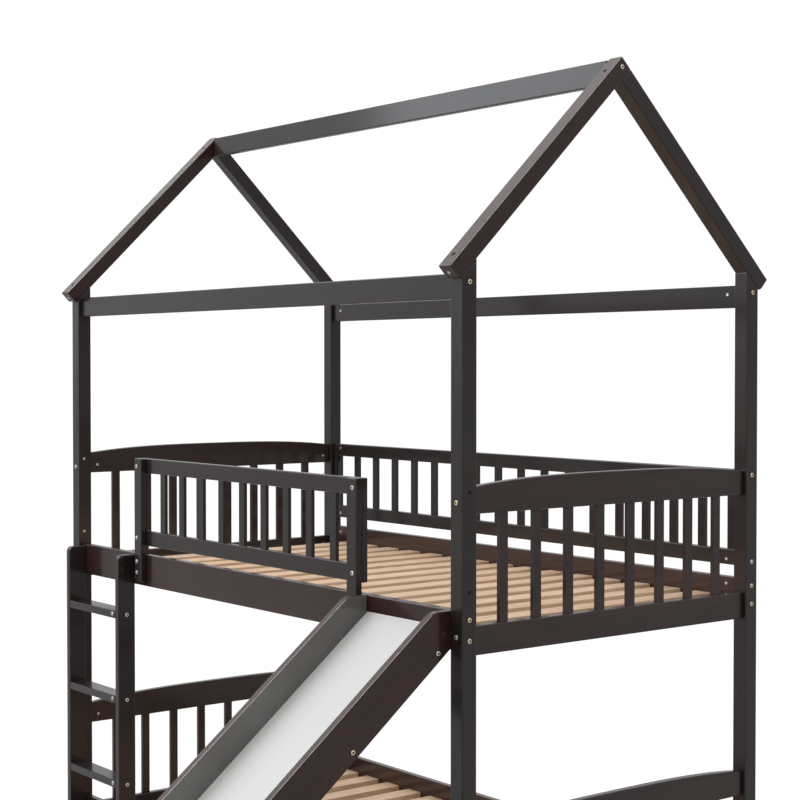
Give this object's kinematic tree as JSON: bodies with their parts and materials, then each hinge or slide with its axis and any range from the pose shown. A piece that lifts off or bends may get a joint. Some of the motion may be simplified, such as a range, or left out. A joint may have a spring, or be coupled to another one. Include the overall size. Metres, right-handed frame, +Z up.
{
  "type": "bunk bed with slide",
  "caption": "House-roof bunk bed in dark stained wood with arched slatted end panels, slatted guards, a front ladder and a straight slide from the upper bunk",
  "frame": {"origin": "on the floor, under the middle of the whole object's box, slide and roof included", "axes": "+X along the bed's long side towards the slide end, -Y to the front where the ladder and slide stand, +Z up"},
  "size_m": [2, 2.3334, 2.3502],
  "materials": {
    "espresso_wood": "espresso stained and lacquered, low satin sheen",
    "pine": "bare planed pine, matt",
    "slide_face": "white laminated running face, smooth satin"
  },
  "bodies": {
    "root": {"front_left_post": "espresso_wood", "front_left_rafter": "espresso_wood", "front_right_post": "espresso_wood", "front_right_rafter": "espresso_wood", "front_eave_beam": "espresso_wood", "lower_front_side_rail": "espresso_wood", "upper_front_side_rail": "espresso_wood", "upper_front_ledger": "espresso_wood", "back_left_post": "espresso_wood", "back_left_rafter": "espresso_wood", "back_right_post": "espresso_wood", "back_right_rafter": "espresso_wood", "back_eave_beam": "espresso_wood", "lower_back_side_rail": "espresso_wood", "upper_back_side_rail": "espresso_wood", "upper_back_ledger": "espresso_wood", "ridge_beam": "espresso_wood", "lower_left_end_panel": "espresso_wood", "lower_right_end_panel": "espresso_wood", "upper_left_end_panel": "espresso_wood", "upper_right_end_panel": "espresso_wood", "back_guard_low_rail": "espresso_wood", "back_guard_top_rail": "espresso_wood", "front_guard": "espresso_wood", "left_guard_hanger": "espresso_wood", "right_guard_hanger": "espresso_wood", "left_ladder_stile": "espresso_wood", "right_ladder_stile": "espresso_wood", "ladder_tread_1": "espresso_wood", "ladder_tread_2": "espresso_wood", "ladder_tread_3": "espresso_wood", "slide_left_wall": "espresso_wood", "slide_right_wall": "espresso_wood", "slide_batten_1": "espresso_wood", "slide_batten_2": "espresso_wood", "slide_batten_3": "espresso_wood", "slide_batten_4": "espresso_wood", "slide_batten_5": "espresso_wood", "slide_deck": "slide_face", "lower_slat_base": "pine", "upper_slat_01": "pine", "upper_slat_02": "pine", "upper_slat_03": "pine", "upper_slat_04": "pine", "upper_slat_05": "pine", "upper_slat_06": "pine", "upper_slat_07": "pine", "upper_slat_08": "pine", "upper_slat_09": "pine", "upper_slat_10": "pine", "upper_slat_11": "pine", "upper_slat_12": "pine", "upper_slat_13": "pine", "upper_slat_14": "pine", "upper_slat_15": "pine"}
  },
  "joints": []
}
